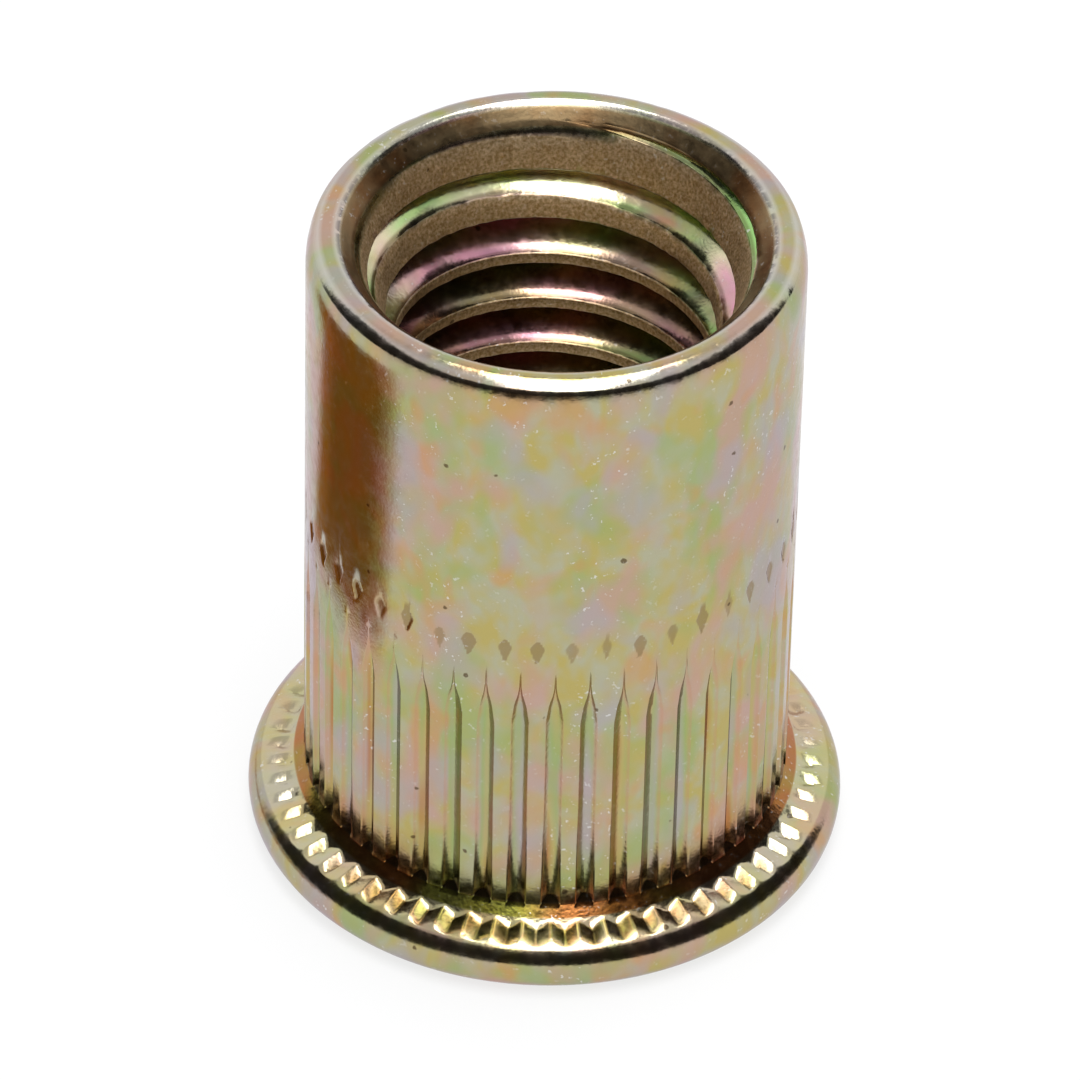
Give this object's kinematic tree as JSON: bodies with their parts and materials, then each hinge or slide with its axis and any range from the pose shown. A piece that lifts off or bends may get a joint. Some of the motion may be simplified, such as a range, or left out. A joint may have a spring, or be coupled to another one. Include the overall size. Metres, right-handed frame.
{
  "type": "rivet nut",
  "caption": "Blind rivet nut with an internal metric thread, a vertically knurled cylindrical shank and a round flange with radial serrations.",
  "frame": {"origin": "centre of the flange's flat face, on the axis of the nut", "axes": "+Z along the axis, from the flange towards the threaded end"},
  "size_m": [0.016, 0.016, 0.0194],
  "materials": {
    "plated_steel": "yellow passivated zinc plating, satin, with faint iridescent patches of green, pink and gold"
  },
  "bodies": {
    "root": {"rivet_nut": "plated_steel"}
  },
  "joints": []
}
